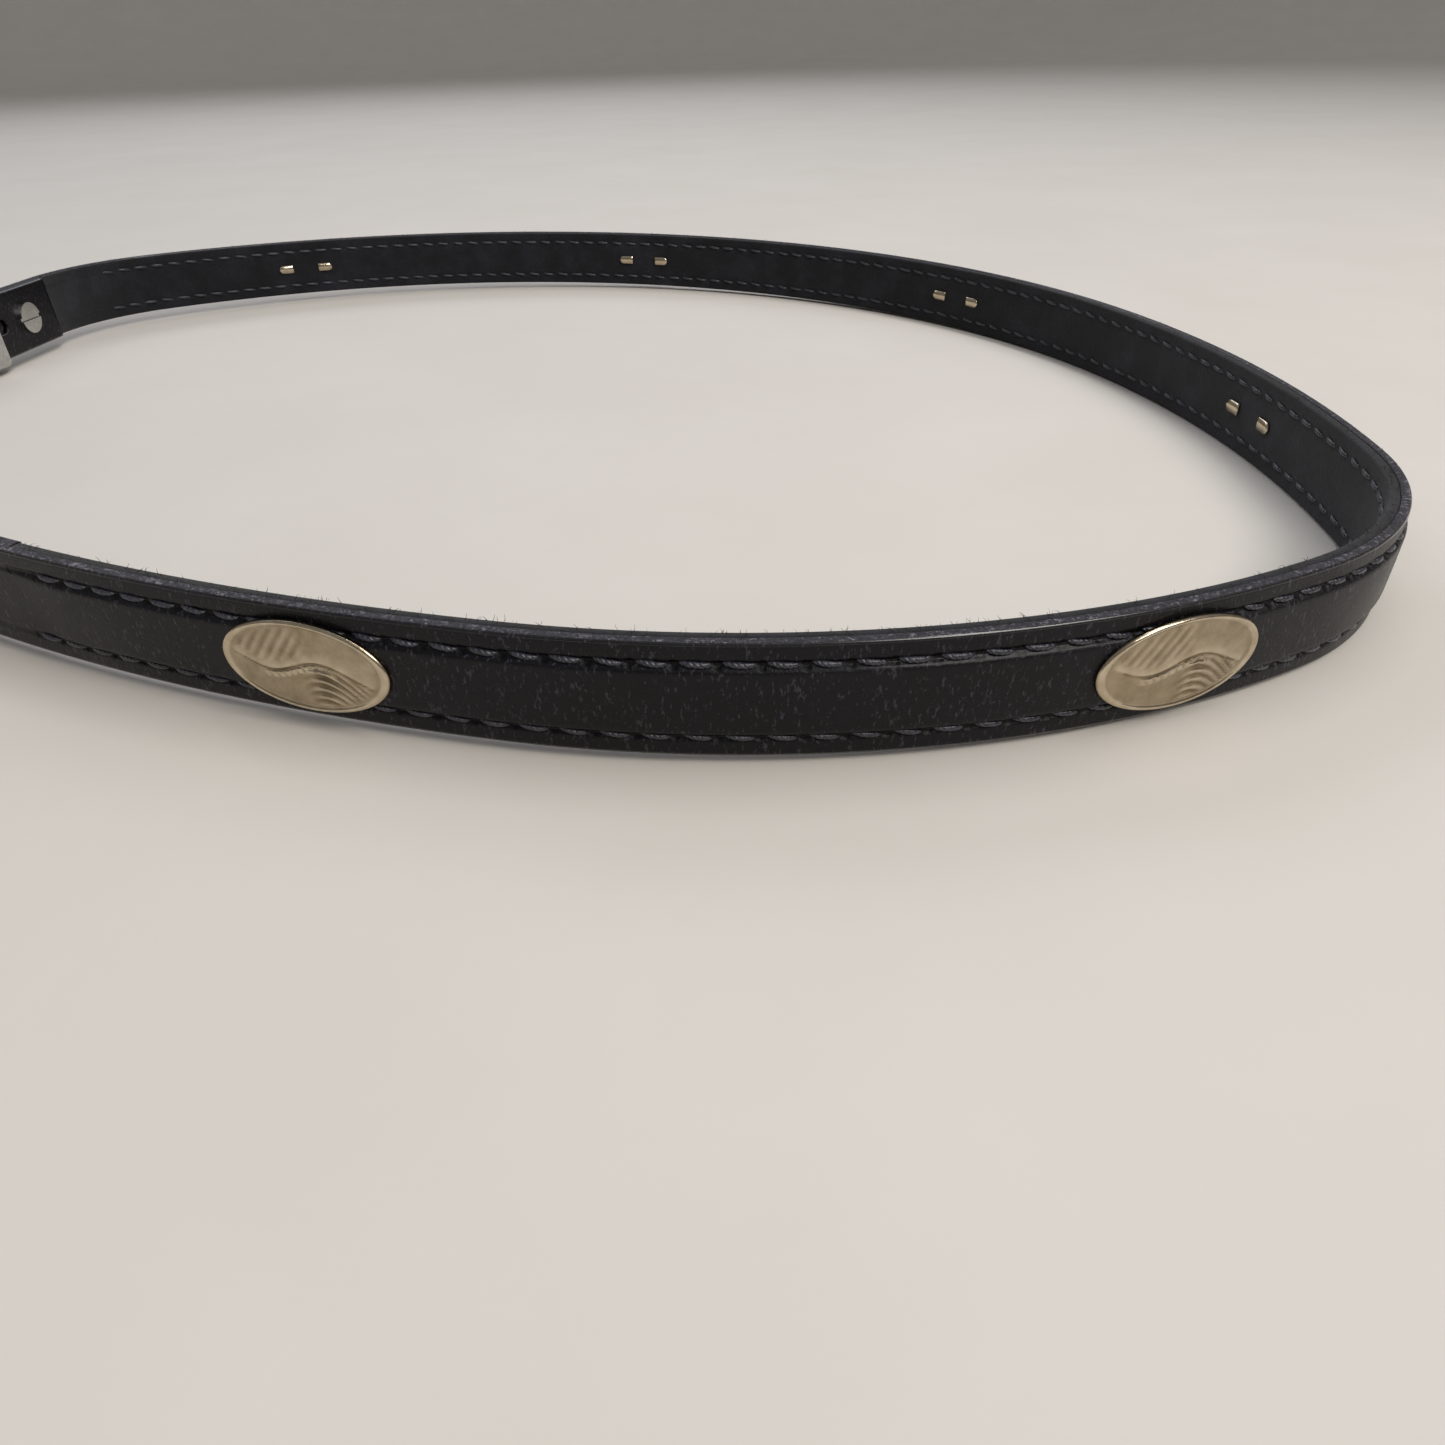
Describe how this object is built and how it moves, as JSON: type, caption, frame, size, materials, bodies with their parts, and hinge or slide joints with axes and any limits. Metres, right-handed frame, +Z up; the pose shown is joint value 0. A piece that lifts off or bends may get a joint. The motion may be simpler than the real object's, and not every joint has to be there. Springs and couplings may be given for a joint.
{
  "type": "headcollar strap",
  "caption": "Loop strap of a leather headcollar: padded, lined and stitched black leather with oval metal conchos, closed by a buckle, a keeper loop and a screw.",
  "frame": {"origin": "middle of the object's plan, on the surface that its lower edge stands on", "axes": "+Z up across the strap's width; +X along the loop's long way, from the buckle to the tight bend; +Y from the front run with the wide concho gap to the back run"},
  "size_m": [0.3221, 0.2804, 0.0221],
  "materials": {
    "outer_leather": "semi-gloss",
    "suede_lining": "matt suede",
    "filler_leather": "matt",
    "thread": "waxed thread",
    "silver": "satin",
    "steel": "polished"
  },
  "bodies": {
    "strap": {"outer_strap": "outer_leather", "lining": "suede_lining", "filler": "filler_leather", "stitching_upper": "thread", "stitching_lower": "thread", "concho_1": "silver", "concho_2": "silver", "concho_3": "silver", "concho_4": "silver", "concho_5": "silver", "concho_6": "silver", "screw_post": "steel", "screw": "steel"},
    "frame": {"buckle_frame": "steel"},
    "tongue": {"buckle_tongue": "steel"},
    "keeper": {"keeper_loop": "steel"}
  },
  "joints": [
    {"name": "frame_hinge", "type": "hinge", "parent": "strap", "child": "frame", "pos_m": [-0.15249, 0.02051, 0.011], "axis": [-0.0099, -0.0017, -0.9999], "range_deg": [0, 3]},
    {"name": "tongue_hinge", "type": "hinge", "parent": "frame", "child": "tongue", "pos_m": [-0.15249, 0.02051, 0.011], "axis": [-0.0099, -0.0017, -0.9999], "range_deg": [0, 3]},
    {"name": "keeper_slide", "type": "slide", "parent": "strap", "child": "keeper", "axis": [0, -1, 0.0017], "range_m": [-0.0035, 0.0035]}
  ]
}
